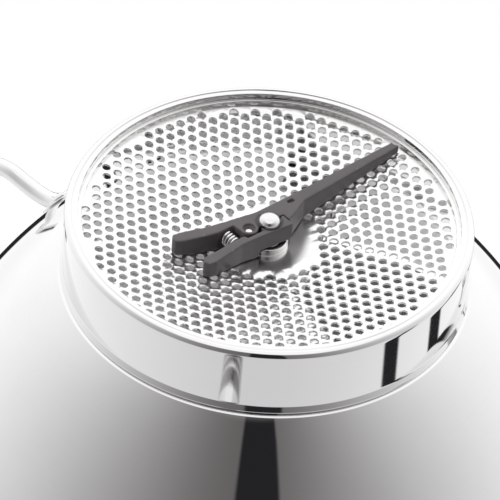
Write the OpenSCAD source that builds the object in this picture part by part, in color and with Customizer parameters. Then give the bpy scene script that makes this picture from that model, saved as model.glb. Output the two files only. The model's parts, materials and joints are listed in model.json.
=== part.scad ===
// Hand-cranked rotary food mill, standing on the lip of its foot ring.
// Millimetres. +Z is up and the long handle points along -Y.
// The origin is the centre of the foot ring's lip.

/* [Bowl] */
// Inner working radius of the bowl's mouth, under the rolled bead
mouth_r = 118; // [114:1:135]
// Height of the mouth above the lip of the foot ring
mouth_z = 105; // [96:1:130]
// Sheet thickness of the bowl
bowl_wall = 0.9; // [0.7:0.1:1.2]
// Radius of the rolled bead round the mouth
bead_r = 2.5; // [2:0.25:4]
// Width of the shoulder between the foot ring and the flared wall
shoulder_w = 1.6; // [1.2:0.1:8]
// Height of the flared wall's start above the foot ring
shoulder_rise = 0.7; // [0.5:0.1:4]

/* [Foot ring] */
// Outer radius of the foot ring
ring_r = 66; // [60:0.5:72]
// Height of the foot ring
ring_h = 24.3; // [22:0.1:26]
// Sheet thickness of the foot ring
ring_wall = 0.9; // [0.7:0.1:1.2]
// Thickness of the folded lip
lip_t = 2.2; // [1.6:0.1:2.6]
// Width of the folded lip, from the outside inwards
lip_w = 4.4; // [3.6:0.1:5]
// Radius of the rounding under the outer edge
lip_round = 2; // [1:0.1:2.1]
// How far the top edge flares out
ring_flare = 0.9; // [0.4:0.1:1.2]

/* [Sieve disc] */
// Sheet thickness of the disc
disc_t = 0.8; // [0.6:0.1:1]
// Drop of the cone for each millimetre of radius
disc_slope = 0.151; // [0.12:0.001:0.17]
// Height of the flat centre's underside above the lip
disc_eye_z = 12.3; // [11.8:0.1:13.5]
// Play between the disc's edge and the bowl's neck
disc_play = 0.25; // [0.15:0.05:0.5]
// Distance between neighbouring holes
hole_pitch = 4.2; // [4:0.1:6]
// Diameter of each hole
hole_d = 2.7; // [1.5:0.1:3]
// Plain radius round the centre
plain_r = 17.3; // [14:0.1:22]
// Turn of the hole pattern
hole_turn = 12.5; // [0:0.5:60]

/* [Axle and crank] */
// Radius of the axle
axle_r = 4; // [3.5:0.1:4.5]
// Radial running clearance of the axle in its two bushes
axle_play = 0.05; // [0.02:0.01:0.1]
// Height of the axle's top above the bowl's mouth
axle_rise = 18; // [16:1:35]
// Radius of the domed head at the axle's foot
head_r = 3.6; // [3.2:0.1:3.8]
// Width of the square neck above the head
neck_w = 4.4; // [3.6:0.1:4.8]
// Distance from the axle to the knob's pin
crank_reach = 88; // [75:1:95]
// Thickness of the crank's arm
crank_t = 3; // [2.5:0.5:4]
// Direction of the crank's arm, from +X
crank_turn = 205; // [0:5:355]
// Direction of the scraper's arm, from +X
scraper_turn = 127; // [0:1:360]
// Radius of the knob's pin
knob_pin_r = 3; // [2.5:0.1:3.5]
// Height of the knob
knob_h = 50; // [44:1:60]
// Largest radius of the knob
knob_r = 13.5; // [12:0.5:16]

/* [Pressing blade] */
// Play between the blade's edge and the disc's wall
blade_play = 2.4; // [1:0.1:8]
// Gap between the blade and the disc
blade_gap = 0.5; // [0.4:0.1:1]
// Rise of the blade's trailing edge
blade_rise = 26; // [18:1:28]
// Turn of the blade from its low edge to its high edge
blade_turn = 205; // [160:5:240]
// Sheet thickness of the blade
blade_t = 1.2; // [1:0.1:2]

/* [Bridge] */
// Height of the spring's room between the blade's hub and the bridge bar
spring_room = 19; // [15:1:28]
// Width of the bridge bar
bridge_w = 16; // [12:1:20]
// Thickness of the bridge bar
bridge_t = 3; // [2:0.5:4]
// Play between the bar's ends and their brackets
bridge_play = 0.4; // [0.3:0.1:0.8]

/* [Scraper clip] */
// Play between the scraper arm's tip and the disc's wall
scraper_play = 1; // [0.6:0.1:6]
// Gap between the scraper and the disc
scraper_gap = 0.4; // [0.3:0.1:0.8]
// Width of the scraper arm
arm_w = 4.6; // [3.6:0.1:6]
// Height of the clip's lower face above the lip
clip_z = 3; // [2.6:0.1:3.2]
// Play between the clip and the disc's bush
clip_play = 0.6; // [0.3:0.1:1]
// Distance from the axle's side to the clip's pivot pin
pivot_gap = 3.3; // [3.1:0.1:4]
// Radius of the clip's pivot pin
pivot_r = 1.2; // [1:0.1:1.3]
// Radial running clearance on the clip's pivot pin
pivot_play = 0.04; // [0.02:0.01:0.08]
// Length of the clip's tails from the axle
tail_len = 30; // [26:0.5:34]

/* [Handle and pot hooks] */
// Radius of the handle
handle_r = 11; // [9:0.5:13]
// Length of the handle
handle_len = 150; // [120:5:170]
// Drop of the handle's axis below the bowl's mouth
handle_drop = 19; // [15:1:23]
// Radius of the pot hooks' rod
hook_rod_r = 2.9; // [2.5:0.1:3.2]
// Angle of each pot hook from +Y
hook_spread = 60; // [45:1:75]

/* [Hidden] */

neck_r = ring_r - ring_wall;
neck_in_r = neck_r - bowl_wall;
disc_r = neck_in_r - disc_play;
lip_in_r = ring_r - lip_w;
neck_low_z = ring_h - 12.3;
shoulder_r = ring_r + shoulder_w;
shoulder_z = ring_h + shoulder_rise;
disc_wall_r = lip_in_r - 1.2;
bush_low_z = disc_eye_z - 2.2;
bush_top_z = disc_eye_z + disc_t + 0.8;
hub_low_z = bush_top_z + 0.3;
hub_top_z = hub_low_z + blade_rise + 0.8;
blade_r = disc_wall_r - blade_play;
bridge_z = hub_top_z + spring_room;
axle_top_z = mouth_z + axle_rise;
handle_z = mouth_z - handle_drop;
scraper_r = disc_wall_r - scraper_play;
clip_top_z = bush_low_z - clip_play;
pivot_u = axle_r + pivot_gap;

steel = "silver";
satin = "gainsboro";
plastic = "dimgray";

// ---- paths and sheet shapes ----

function unit(v) = v / norm(v);
function left_of(v) = [-v[1], v[0]];
function bend2(a, b, c, n) = [for (i = [0:n])
    let (t = i / n)
    (1 - t) * (1 - t) * a + 2 * t * (1 - t) * b + t * t * c];
function moved(path, d) = [for (i = [0:len(path) - 1])
    let (a = path[max(i - 1, 0)], b = path[min(i + 1, len(path) - 1)])
    path[i] + d * left_of(unit(b - a))];
function back(path) = [for (i = [len(path) - 1:-1:0]) path[i]];

// outer side of the bowl from the shoulder up to the mouth
flare_path = bend2([shoulder_r, shoulder_z],
    [shoulder_r + 0.643 * (mouth_r - shoulder_r), shoulder_z + 0.35 * (mouth_z - shoulder_z)],
    [mouth_r, mouth_z], 12);
shoulder_path = [[neck_r, neck_low_z], [neck_r, ring_h + 0.1], [neck_r + 0.9, ring_h + 0.25]];
bowl_path = concat(shoulder_path, flare_path);

function radius_at(path, z, i = 0) =
    i >= len(path) - 2 || path[i + 1][1] >= z
    ? path[i][0] + (path[i + 1][0] - path[i][0]) * (z - path[i][1]) / (path[i + 1][1] - path[i][1])
    : radius_at(path, z, i + 1);

// everything inside a skin set d outwards from the bowl's outer side
module bowl_solid(d) {
    p = moved(flare_path, -d);
    rotate_extrude($fn = 120)
        polygon(concat([[0, p[0][1]]], p, [[0, p[len(p) - 1][1]]]));
}

// ---- swept rods ----

function ring_at(p, t, r, sides) =
    let (up = abs(t[2]) > 0.95 ? [1, 0, 0] : [0, 0, 1], a = unit(cross(t, up)), b = cross(a, t))
    [for (k = [0:sides - 1]) p + r * (cos(360 * k / sides) * a + sin(360 * k / sides) * b)];

// rod of radius r along the points of a path
module rod(path, r, sides = 12) {
    n = len(path);
    pts = [for (i = [0:n - 1])
        each ring_at(path[i], unit(path[min(i + 1, n - 1)] - path[max(i - 1, 0)]), r, sides)];
    walls = [for (i = [0:n - 2], k = [0:sides - 1])
        let (m = (k + 1) % sides)
        [i * sides + k, i * sides + m, (i + 1) * sides + m, (i + 1) * sides + k]];
    polyhedron(points = pts, faces = concat([[for (k = [sides - 1:-1:0]) k]], walls,
        [[for (k = [0:sides - 1]) (n - 1) * sides + k]]));
}

// points of a smooth curve through a list of points
function smooth(p, n) = [for (i = [0:len(p) - 2], s = [0:n - 1])
    let (a = p[max(i - 1, 0)], b = p[i], c = p[i + 1], d = p[min(i + 2, len(p) - 1)], t = s / n)
    0.5 * (2 * b + (c - a) * t + (2 * a - 5 * b + 4 * c - d) * t * t
        + (3 * b - a - 3 * c + d) * t * t * t)];

// coil about the Z axis from z0 to z1
function coil(r, z0, z1, turns, steps) = [for (i = [0:turns * steps])
    let (a = 360 * i / steps, s = i / (turns * steps))
    [r * cos(a), r * sin(a), z0 + (z1 - z0) * s]];

// ---- bowl and foot ring ----

module bowl() {
    color(steel)
    rotate_extrude($fn = 120)
        union() {
            polygon(concat(bowl_path, back(moved(bowl_path, bowl_wall))));
            translate([mouth_r + bead_r - bowl_wall, mouth_z])
                circle(r = bead_r, $fn = 32);
        }
}

module foot_ring() {
    color(steel)
    rotate_extrude($fn = 120)
        polygon(concat(
            [[lip_in_r + 0.4, 0], [ring_r - lip_round - 0.7, 0], [ring_r - lip_round - 0.55, 0.25],
                [ring_r - lip_round - 0.15, 0.25]],
            [for (a = [-90:15:0]) [ring_r - lip_round + lip_round * cos(a), lip_round + lip_round * sin(a)]],
            [[ring_r, ring_h - 2.2], [ring_r + ring_flare, ring_h - 0.4], [ring_r + ring_flare - 0.2, ring_h],
                [neck_r, ring_h], [neck_r, lip_t], [lip_in_r + 0.4, lip_t],
                [lip_in_r, lip_t - 0.4], [lip_in_r, 0.4]]));
}

// ---- sieve disc ----

disc_cone_z = disc_eye_z + 9 * disc_slope;
disc_sides = 24;
function disc_low(r) = min(disc_eye_z, disc_cone_z - disc_slope * r);
hole_span = ceil(disc_wall_r / hole_pitch) + 6;
hole_spots = [for (i = [-hole_span:hole_span], j = [-hole_span:hole_span])
    let (x = (i + j / 2) * hole_pitch, y = (j * sqrt(3) / 2 - 0.25) * hole_pitch, r = norm([x, y]))
    if (r > plain_r && r < disc_wall_r - 1.2) [x, y]];

// shallow many-sided cone, filled below its surface
module shallow_cone(top) {
    intersection_for (k = [0:disc_sides - 1])
        rotate([0, 0, 360 * k / disc_sides])
            translate([0, 0, top])
                rotate([0, atan(disc_slope), 0])
                    translate([-200, -200, -400])
                        cube([400, 400, 400]);
}

module sieve_disc() {
    edge_z = disc_low(disc_wall_r);
    color(satin)
    union() {
        difference() {
            intersection() {
                shallow_cone(disc_cone_z + disc_t);
                cylinder(r = disc_wall_r + 0.4, h = disc_eye_z + disc_t, $fn = 96);
            }
            intersection() {
                shallow_cone(disc_cone_z);
                translate([0, 0, -1])
                    cylinder(r = ring_r, h = disc_eye_z + 1, $fn = 96);
            }
            cylinder(r = bush_shank_r, h = 40, $fn = 48);
            rotate([0, 0, hole_turn])
                for (p = hole_spots)
                    translate([p[0], p[1], 0])
                        cylinder(d = hole_d, h = 20, $fn = 16);
        }
        rotate_extrude($fn = 96)
            polygon([[disc_wall_r, edge_z + disc_t], [disc_wall_r, lip_t], [disc_r, lip_t],
                [disc_r, lip_t + disc_t],
                [disc_wall_r + disc_t, lip_t + disc_t], [disc_wall_r + disc_t, edge_z + disc_t - 0.1]]);
    }
}

bush_shank_r = axle_r + 1.1;
bush_flange_r = axle_r + 2.6;

module disc_bush() {
    color(steel)
    rotate_extrude($fn = 64)
        polygon([[axle_r + axle_play, bush_low_z], [bush_flange_r - 0.6, bush_low_z],
            [bush_flange_r, bush_low_z + 0.6], [bush_flange_r, disc_eye_z], [bush_shank_r, disc_eye_z],
            [bush_shank_r, disc_eye_z + disc_t], [bush_flange_r, disc_eye_z + disc_t],
            [bush_flange_r - 0.3, bush_top_z], [axle_r + axle_play, bush_top_z]]);
}

// ---- pot hooks ----

hook_z = shoulder_z + 33.2;
hook_foot_r = radius_at(flare_path, hook_z - 3);
hook_path = [for (p = smooth([
    [hook_foot_r - 1, -4.6], [hook_foot_r + 1.8, -2.2], [hook_foot_r + 6.1, -0.2], [hook_foot_r + 12.1, 0.5],
    [hook_foot_r + 19.1, 0.1], [hook_foot_r + 26.1, -0.5], [hook_foot_r + 32.1, 0.8], [hook_foot_r + 37.1, 4],
    [hook_foot_r + 42.6, 5.6], [hook_foot_r + 47.6, 3], [hook_foot_r + 50.1, -3],
    [hook_foot_r + 50.9, -10]], 4))
    [p[0], 0, hook_z + p[1]]];

// rod that runs out from the bowl, rises over a pot's rim and turns down
module pot_hook() {
    difference() {
        rod(hook_path, hook_rod_r);
        bowl_solid(1.2);
    }
}

// small curved plate between the rod and the bowl
module hook_pad() {
    intersection() {
        difference() {
            bowl_solid(1.2);
            bowl_solid(0);
        }
        translate([hook_foot_r, 0, hook_z - 3])
            rotate([0, 125, 0])
                cylinder(r = hook_rod_r + 4.5, h = 30, center = true, $fn = 48);
    }
}

module pot_hook_right() {
    color(steel)
    rotate([0, 0, 90 - hook_spread])
        pot_hook();
}

module pot_hook_left() {
    color(steel)
    rotate([0, 0, 90 + hook_spread])
        pot_hook();
}

module hook_pad_right() {
    color(steel)
    rotate([0, 0, 90 - hook_spread])
        hook_pad();
}

module hook_pad_left() {
    color(steel)
    rotate([0, 0, 90 + hook_spread])
        hook_pad();
}

// ---- handle ----

handle_root_y = radius_at(flare_path, handle_z);
grip_start = handle_root_y + 22;
grip_end = grip_start + handle_len;

module handle_pad() {
    color(steel)
    intersection() {
        difference() {
            bowl_solid(1.8);
            bowl_solid(0);
        }
        translate([0, -handle_root_y, handle_z])
            rotate([90, 0, 0])
                union() {
                    cube([34, 22, 60], center = true);
                    for (s = [-1, 1])
                        translate([s * 17, 0, 0])
                            cylinder(r = 11, h = 60, center = true, $fn = 48);
                }
    }
}

module handle_neck() {
    color(steel)
    difference() {
        translate([0, -handle_root_y + 12, handle_z])
            rotate([90, 0, 0])
                rotate_extrude($fn = 64)
                    polygon([[0, 0], [9.5, 0], [9.5, 14], [7.5, 20], [7.5, 28], [handle_r, 34], [0, 34]]);
        bowl_solid(1.8);
    }
}

module handle_grip() {
    color(satin)
    translate([0, -grip_start, handle_z])
        rotate([90, 0, 0])
            rotate_extrude($fn = 64)
                polygon(concat([[0, 0], [handle_r, 0]],
                    [for (s = [0.06:0.08:0.94]) [handle_r + 1.6 * sin(180 * s), handle_len * s]],
                    [[handle_r, handle_len], [handle_r - 1.5, handle_len], [handle_r - 1.5, handle_len - 14],
                        [0, handle_len - 14]]));
}

module handle_end() {
    color(steel)
    translate([0, -grip_end, handle_z])
        rotate([90, 0, 0])
            difference() {
                rotate_extrude($fn = 64)
                    polygon(concat([[0, -8], [handle_r - 1.5, -8], [handle_r - 1.5, 0], [handle_r, 0]],
                        [for (a = [0:15:90]) [handle_r - 1.8 + 1.8 * cos(a), 3.2 + 1.8 * sin(a)]], [[0, 5]]));
                for (s = [-1, 1])
                    translate([s * eye_half, 0, -4])
                        cylinder(r = eye_rod_r, h = 20, $fn = 32);
            }
}

eye_rod_r = 2;
eye_half = 6;

// fixed hanging loop in the handle's end
module handle_eye() {
    color(steel)
    translate([0, -grip_end, handle_z])
        rotate([90, 0, 0])
            union() {
                for (s = [-1, 1])
                    translate([s * eye_half, 0, -4])
                        cylinder(r = eye_rod_r, h = 14, $fn = 32);
                translate([0, 0, 10])
                    rotate([90, 0, 0])
                        rotate_extrude(angle = 180, $fn = 64)
                            translate([eye_half, 0])
                                circle(r = eye_rod_r, $fn = 32);
            }
}

// ---- bridge ----

bridge_half = radius_at(moved(flare_path, bowl_wall), bridge_z) - 6;

module bridge_bar() {
    color(steel)
    difference() {
        translate([-bridge_w / 2, -bridge_half, bridge_z])
            cube([bridge_w, 2 * bridge_half, bridge_t]);
        translate([0, 0, bridge_z - 1])
            cylinder(r = axle_r + 2.5, h = bridge_t + 2, $fn = 64);
    }
}

module bridge_bush() {
    color(steel)
    rotate_extrude($fn = 64)
        polygon([[axle_r + axle_play, bridge_z - 1.5], [axle_r + 4.5, bridge_z - 1.5],
            [axle_r + 4.5, bridge_z], [axle_r + 2.5, bridge_z],
            [axle_r + 2.5, bridge_z + bridge_t], [axle_r + 4.5, bridge_z + bridge_t],
            [axle_r + 4.5, bridge_z + bridge_t + 1.5], [axle_r + 3, bridge_z + bridge_t + 4],
            [axle_r + axle_play, bridge_z + bridge_t + 4]]);
}

// shelf with a slot that takes one end of the bridge bar
module bridge_bracket() {
    reach = bridge_half + 30;
    difference() {
        intersection() {
            bowl_solid(-bowl_wall);
            translate([-bridge_w / 2 - 4, bridge_half - 14, bridge_z - 3])
                cube([bridge_w + 8, 60, bridge_t + 6]);
        }
        translate([-bridge_w / 2 - bridge_play, bridge_half - 20, bridge_z])
            cube([bridge_w + 2 * bridge_play, 20 + bridge_play, bridge_t + bridge_play]);
        translate([-bridge_w / 2 + 2.5, bridge_half - 20, bridge_z + bridge_t])
            cube([bridge_w - 5, reach, 20]);
    }
}

module bridge_bracket_back() {
    color(steel)
    bridge_bracket();
}

module bridge_bracket_front() {
    color(steel)
    mirror([0, 1, 0])
        bridge_bracket();
}

// ---- axle, blade and springs ----

hub_r = axle_r + 3;
neck_top_z = clip_z + 3.1;
ring_z = bridge_z + bridge_t + 4.3;

module axle() {
    color(steel)
    union() {
        rotate_extrude($fn = 64)
            polygon([[0, neck_top_z], [axle_r, neck_top_z], [axle_r, ring_z], [axle_r - 0.6, ring_z],
                [axle_r - 0.6, ring_z + 1], [axle_r, ring_z + 1], [axle_r, axle_top_z - 0.8],
                [axle_r - 0.8, axle_top_z], [0, axle_top_z]]);
        rotate([0, 0, scraper_turn])
            translate([-neck_w / 2, -neck_w / 2, clip_z])
                cube([neck_w, neck_w, neck_top_z - clip_z]);
        rotate_extrude($fn = 64)
            polygon([[0, clip_z + 0.3], [head_r, clip_z + 0.3], [head_r, clip_z - 0.5],
                [head_r - 0.4, clip_z - 1.2],
                [head_r - 1.3, clip_z - 1.8], [head_r - 2.4, clip_z - 2.1], [0, clip_z - 2.2]]);
    }
}

module thrust_washer() {
    color(steel)
    translate([0, 0, bridge_z - 2.6])
        difference() {
            cylinder(r = axle_r + 4.5, h = 0.8, $fn = 64);
            translate([0, 0, -1])
                cylinder(r = axle_r, h = 3, $fn = 64);
        }
}

module axle_ring() {
    color(steel)
    translate([0, 0, ring_z])
        difference() {
            cylinder(r = axle_r + 2.2, h = 1, $fn = 48);
            translate([0, 0, -1])
                cylinder(r = axle_r - 0.6, h = 3, $fn = 48);
            rotate([0, 0, 40])
                translate([0, -1.2, -1])
                    cube([20, 2.4, 3]);
        }
}

module axle_spring() {
    wire = 0.9;
    color(steel)
    rod(coil(axle_r + 2.3, hub_top_z + wire, bridge_z - 2.6 - wire, 5, 20), wire, 8);
}

module blade_hub() {
    color(steel)
    difference() {
        union() {
            translate([0, 0, hub_low_z])
                cylinder(r = hub_r, h = hub_top_z - hub_low_z, $fn = 64);
            translate([0, 0, hub_low_z])
                cylinder(r = hub_r + 1.2, h = 2, $fn = 64);
        }
        cylinder(r = axle_r, h = 80, $fn = 64);
        translate([0, 0, hub_top_z - 5])
            rotate([0, 90, blade_pin_turn])
                cylinder(r = 1.25, h = 40, center = true, $fn = 32);
    }
}

blade_pin_turn = crank_turn - 55;

// cross pin that fixes the hub, shown by its two ends outside the axle
module blade_pin() {
    color(steel)
    difference() {
        translate([0, 0, hub_top_z - 5])
            rotate([0, 90, blade_pin_turn])
                cylinder(r = 1.25, h = 2 * hub_r + 1.4, center = true, $fn = 32);
        cylinder(r = axle_r, h = 80, $fn = 64);
    }
}

// helical sheet that presses the food through the holes
blade_steps = 26;
blade_rings = 6;
blade_eye_lift = max(0, hub_low_z + 2.3 - disc_eye_z - disc_t - blade_gap);
function blade_low(r, s) = disc_low(r) + disc_t + blade_gap + (disc_eye_z - disc_low(r) + blade_rise) * s
    + (r < 14 ? blade_eye_lift * (14 - r) / 6 * (1 - s) : 0);
blade_radii = [for (k = [0:blade_rings]) hub_r + (blade_r - hub_r) * k / blade_rings];
function blade_out(r, s) = r - (r > hub_r + 1 ? (r - hub_r) * 0.18 * s * s : 0);

module blade() {
    w = blade_rings + 1;
    points = [for (layer = [0, 1], i = [0:blade_steps], k = [0:blade_rings])
        let (s = i / blade_steps, a = crank_turn + 30 + blade_turn * s, r = blade_out(blade_radii[k], s))
        [r * cos(a), r * sin(a), blade_low(blade_radii[k], s) + layer * blade_t]];
    m = (blade_steps + 1) * w;
    function at(layer, i, k) = layer * m + i * w + k;
    // each four-sided patch is split into two triangles
    function patch(a, b, c, d) = [[a, b, c], [a, c, d]];
    color(satin)
    polyhedron(points = points, faces = concat(
        [for (i = [0:blade_steps - 1], k = [0:blade_rings - 1])
            each patch(at(1, i, k), at(1, i + 1, k), at(1, i + 1, k + 1), at(1, i, k + 1))],
        [for (i = [0:blade_steps - 1], k = [0:blade_rings - 1])
            each patch(at(0, i, k), at(0, i, k + 1), at(0, i + 1, k + 1), at(0, i + 1, k))],
        [for (i = [0:blade_steps - 1])
            each patch(at(0, i, blade_rings), at(1, i, blade_rings),
                at(1, i + 1, blade_rings), at(0, i + 1, blade_rings))],
        [for (i = [0:blade_steps - 1])
            each patch(at(0, i, 0), at(0, i + 1, 0), at(1, i + 1, 0), at(1, i, 0))],
        [for (k = [0:blade_rings - 1])
            each patch(at(0, 0, k), at(1, 0, k), at(1, 0, k + 1), at(0, 0, k + 1))],
        [for (k = [0:blade_rings - 1])
            each patch(at(0, blade_steps, k), at(0, blade_steps, k + 1),
                at(1, blade_steps, k + 1), at(1, blade_steps, k))]));
}

// ---- crank and knob ----

crank_z = axle_top_z - 8;
pin_top_z = crank_z + crank_t + 0.6 + knob_h - 5;

module crank_hub() {
    color(steel)
    difference() {
        rotate_extrude($fn = 64)
            polygon([[0, crank_z - 6], [axle_r + 3, crank_z - 6], [axle_r + 4, crank_z - 5],
                [axle_r + 4, crank_z],
                [axle_r + 2.5, crank_z], [axle_r + 2.5, crank_z + crank_t], [axle_r + 5, crank_z + crank_t],
                [axle_r + 5, axle_top_z - 1], [axle_r + 3.5, axle_top_z + 1], [0, axle_top_z + 1]]);
        translate([0, 0, crank_z - 10])
            cylinder(r = axle_r, h = axle_top_z - crank_z + 10, $fn = 64);
    }
}

module crank_arm() {
    color(steel)
    rotate([0, 0, crank_turn])
        translate([0, 0, crank_z])
            difference() {
                linear_extrude(height = crank_t)
                    union() {
                        circle(r = 11, $fn = 64);
                        polygon([[0, -11], [crank_reach, -7.5], [crank_reach, 7.5], [0, 11]]);
                        translate([crank_reach, 0])
                            circle(r = 7.5, $fn = 64);
                    }
                translate([0, 0, -1])
                    cylinder(r = axle_r + 2.5, h = crank_t + 2, $fn = 64);
                translate([crank_reach, 0, -1])
                    cylinder(r = knob_pin_r, h = crank_t + 2, $fn = 48);
            }
}

// places a turned part on the knob's axis
module on_knob_axis() {
    rotate([0, 0, crank_turn])
        translate([crank_reach, 0, 0])
            children();
}

module knob_pin() {
    color(steel)
    on_knob_axis()
        rotate_extrude($fn = 48)
            polygon([[0, crank_z - 2], [knob_pin_r + 0.6, crank_z - 2], [knob_pin_r + 2, crank_z - 0.8],
                [knob_pin_r + 2, crank_z], [knob_pin_r, crank_z], [knob_pin_r, pin_top_z],
                [knob_pin_r + 1.6, pin_top_z], [knob_pin_r + 1.6, pin_top_z + 1.2],
                [knob_pin_r, pin_top_z + 2], [0, pin_top_z + 2]]);
}

module knob_washer() {
    color(steel)
    on_knob_axis()
        translate([0, 0, crank_z + crank_t])
            difference() {
                cylinder(r = knob_pin_r + 4, h = 0.6, $fn = 48);
                translate([0, 0, -1])
                    cylinder(r = knob_pin_r, h = 3, $fn = 48);
            }
}

knob_low_z = crank_z + crank_t + 0.9;

module knob() {
    h = knob_h;
    color(plastic)
    on_knob_axis()
        translate([0, 0, knob_low_z])
            rotate_extrude($fn = 64)
                polygon(concat(
                    [[knob_pin_r + axle_play, 0], [7.4, 0], [8.2, 0.8], [8.2, 2.4]],
                    [for (s = [0.1:0.1:0.9]) [8.4 + (knob_r - 8.4) * sin(140 * s), 2.4 + (h - 8) * s]],
                    [[knob_r - 3.4, h - 3.2], [knob_r - 5.6, h - 1], [knob_r - 6.5, h - 0.6],
                        [knob_pin_r + 2.4, h - 0.6], [knob_pin_r + 2.4, pin_top_z - knob_low_z - 0.3],
                        [knob_pin_r + axle_play, pin_top_z - knob_low_z - 0.3]]));
}

module knob_cap() {
    color(plastic)
    on_knob_axis()
        translate([0, 0, knob_low_z + knob_h])
            rotate_extrude($fn = 64)
                polygon([[0, -2.2], [knob_pin_r + 2.4, -2.2], [knob_pin_r + 2.4, -0.6], [knob_r - 6.5, -0.6],
                    [knob_r - 7, 0.4], [knob_r - 10, 1], [0, 1.2]]);
}

// ---- scraper clip: u runs along the scraper's arm, v to its right seen from below ----

clip_mid_z = clip_z + 0.446 * (clip_top_z - clip_z);
clip_skin = 0.35;
pivot_v = -1.4;
spring_u = pivot_u + 6.3;
spring_z = (clip_z + clip_top_z) / 2 + 0.15;

module clip_frame() {
    rotate([0, 0, scraper_turn])
        children();
}

// space under the sieve disc that the clip may fill
module under_disc() {
    rotate_extrude($fn = 96)
        polygon([[0, 0], [ring_r, 0], [ring_r, disc_low(ring_r) - scraper_gap],
            [9, disc_eye_z - scraper_gap], [bush_flange_r + 1.2, disc_eye_z - scraper_gap],
            [bush_flange_r + 1.2, clip_top_z], [0, clip_top_z]]);
}

// arm's lower side climbs a little towards its tip
module above_arm_face() {
    rotate_extrude($fn = 96)
        polygon([[0, clip_z], [14, clip_z], [scraper_r + 1, clip_z - 1.6], [scraper_r + 4, clip_z - 1.6],
            [scraper_r + 4, 30], [0, 30]]);
}

module tail_a_plan() {
    polygon([[-1, -6.2], [-19, -9.6], [-tail_len + 2, -12.2], [-tail_len - 0.4, -12],
        [-tail_len - 1.4, -10.8], [-tail_len - 1.2, -9.2], [-tail_len + 0.6, -8], [-21, -5.9], [-17, -5.2],
        [-9.9, -5.2], [-4, -2.5]]);
}

module scraper_lever() {
    color(plastic)
    clip_frame()
        difference() {
            intersection() {
                union() {
                    // arm
                    linear_extrude(height = 20)
                        polygon([[6, -1.6 - arm_w], [scraper_r - 1.6, -1.8 - arm_w], [scraper_r - 1.8, -5.4],
                            [scraper_r - 0.8, -3.4], [16, -1.5], [10, 1.2], [6, 2.8], [6, -0.2], [2, -0.2],
                            [2, -1.6 - arm_w]]);
                    // hub half and tail
                    linear_extrude(height = 20)
                        union() {
                            polygon([[-6, -0.2], [6, -0.2], [7, -6.2], [-1, -6.2], [-8, -7.6], [-9.5, -4.4]]);
                            tail_a_plan();
                        }
                    // tongue that carries the pivot pin
                    translate([0, 0, clip_z])
                        linear_extrude(height = clip_mid_z - clip_z)
                            union() {
                                translate([-pivot_u, pivot_v])
                                    circle(r = 3.1, $fn = 48);
                                polygon([[-pivot_u - 3, pivot_v], [-pivot_u + 3.1, pivot_v], [-3, -5],
                                    [-10.8, -5.6]]);
                            }
                }
                rotate([0, 0, -scraper_turn])
                    under_disc();
                rotate([0, 0, -scraper_turn])
                    above_arm_face();
            }
            // seat for the head, the neck's slot and room for the shaft
            translate([0, 0, clip_z - 1])
                cylinder(r = head_r + 0.9, h = 1.6, $fn = 48);
            translate([-neck_w / 2 - 0.1, -neck_w / 2 - 0.1, 0])
                cube([neck_w + 0.2, neck_w + 0.2, 20]);
            translate([0, 0, neck_top_z - 0.2])
                cylinder(r = axle_r + 0.3, h = 20, $fn = 48);
            // recess over the pivot pin, the pin's hole and the lever's lug space
            translate([-pivot_u, pivot_v, clip_z - 1])
                cylinder(r = 2, h = 2, $fn = 32);
            translate([-pivot_u, pivot_v, 0])
                cylinder(r = pivot_r, h = 20, $fn = 32);
            translate([-pivot_u, pivot_v, clip_mid_z])
                cylinder(r = 3.4, h = 20, $fn = 48);
            // spring seat's socket in the tail
            translate([-spring_u, -5.6, spring_z])
                rotate([90, 0, 0])
                    cylinder(r = 1.2, h = 2.2, center = true, $fn = 32);
            // moulding notch in the arm's lower side
            translate([11, -4.6, clip_z - 1])
                cube([2.4, 1.4, 2.2]);
        }
}

module pivot_pin() {
    color(steel)
    clip_frame()
        translate([-pivot_u, pivot_v, 0])
            rotate_extrude($fn = 32)
                polygon([[0, clip_z + 1.3], [pivot_r, clip_z + 1.3], [pivot_r, clip_top_z - 1.2],
                    [pivot_r + 0.9, clip_top_z - 1.2], [pivot_r + 0.9, clip_top_z - 0.4],
                    [pivot_r + 0.4, clip_top_z], [0, clip_top_z]]);
}

module release_lever() {
    lug_top = clip_top_z - 1.5;
    color(plastic)
    clip_frame()
        difference() {
            union() {
                // jaw and tail
                intersection() {
                    translate([0, 0, clip_z])
                        linear_extrude(height = 12)
                            polygon([[5.6, 0.2], [5.6, 5.3], [-1, 4.6], [-9, 3.9], [-14, 3.8],
                                [-tail_len + 4, 5.4], [-tail_len + 1.4, 5], [-tail_len + 0.4, 3.2],
                                [-tail_len + 1.6, 1.5],
                                [-21, 1.2], [-17, 0.8], [-11.2, 0.8], [-pivot_u - 3.3, 2.2],
                                [-pivot_u + 3.2, 2.2], [-3.8, 0.2]]);
                    rotate([0, 0, -scraper_turn])
                        under_disc();
                }
                // lug round the pivot pin
                translate([0, 0, clip_mid_z + 0.3])
                    linear_extrude(height = lug_top - clip_mid_z - 0.3)
                        union() {
                            translate([-pivot_u, pivot_v])
                                circle(r = 2.9, $fn = 48);
                            polygon([[-pivot_u - 2.6, pivot_v], [-pivot_u + 2.6, pivot_v], [-pivot_u + 3, 3],
                                [-pivot_u - 3, 3]]);
                        }
            }
            translate([-pivot_u, pivot_v, 0])
                cylinder(r = pivot_r + pivot_play, h = 30, $fn = 32);
            translate([0, 0, clip_z - 1])
                cylinder(r = head_r + 0.9, h = 1.6, $fn = 48);
            translate([-neck_w / 2 - 0.1, -neck_w / 2 - 0.1, 0])
                cube([neck_w + 0.9, neck_w + 0.2, 20]);
            translate([0, 0, neck_top_z - 0.2])
                cylinder(r = axle_r + 0.3, h = 20, $fn = 48);
            translate([-spring_u, 1.4, spring_z])
                rotate([90, 0, 0])
                    cylinder(r = 1.2, h = 3.4, center = true, $fn = 32);
        }
}

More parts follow.
